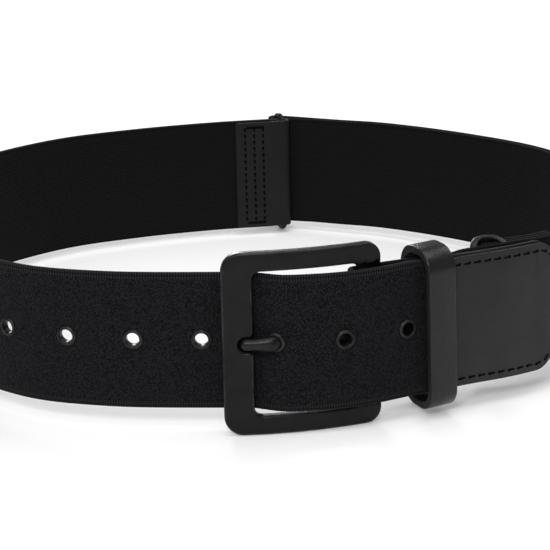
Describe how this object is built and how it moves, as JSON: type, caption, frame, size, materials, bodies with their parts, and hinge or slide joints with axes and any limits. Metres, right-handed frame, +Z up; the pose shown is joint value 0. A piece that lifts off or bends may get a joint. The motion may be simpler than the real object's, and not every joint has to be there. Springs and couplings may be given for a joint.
{
  "type": "elastic stretch belt",
  "caption": "Wide woven elastic waist belt, fastened, with a square prong buckle, a leather tip and keeper, and a doubled strap with a slider and a rear ring.",
  "frame": {"origin": "centre of the bounding box in plan, at the surface the belt stands on", "axes": "+X to the buckle's right side as seen from in front, +Y from the buckle to the back of the belt, +Z up, from the belt's lower edge to its upper edge"},
  "size_m": [0.2762, 0.2408, 0.067],
  "materials": {
    "elastic": "matt knitted elastic webbing, near black",
    "leather": "satin dark grey leather with fine grain",
    "black_metal": "matt black coating on die-cast metal",
    "eyelet_metal": "dark gunmetal, semi-gloss"
  },
  "bodies": {
    "root": {"eyelet_band": "elastic", "adjusting_strap": "elastic", "tip_inner_ply": "leather", "tip_outer_ply": "leather", "keeper": "leather", "rear_tab": "leather", "buckle_frame": "black_metal", "prong": "black_metal", "rear_ring": "black_metal", "slider": "black_metal", "eyelet_1": "eyelet_metal", "eyelet_2": "eyelet_metal", "eyelet_3": "eyelet_metal", "eyelet_4": "eyelet_metal", "eyelet_5": "eyelet_metal", "eyelet_6": "eyelet_metal", "eyelet_7": "eyelet_metal"}
  },
  "joints": []
}
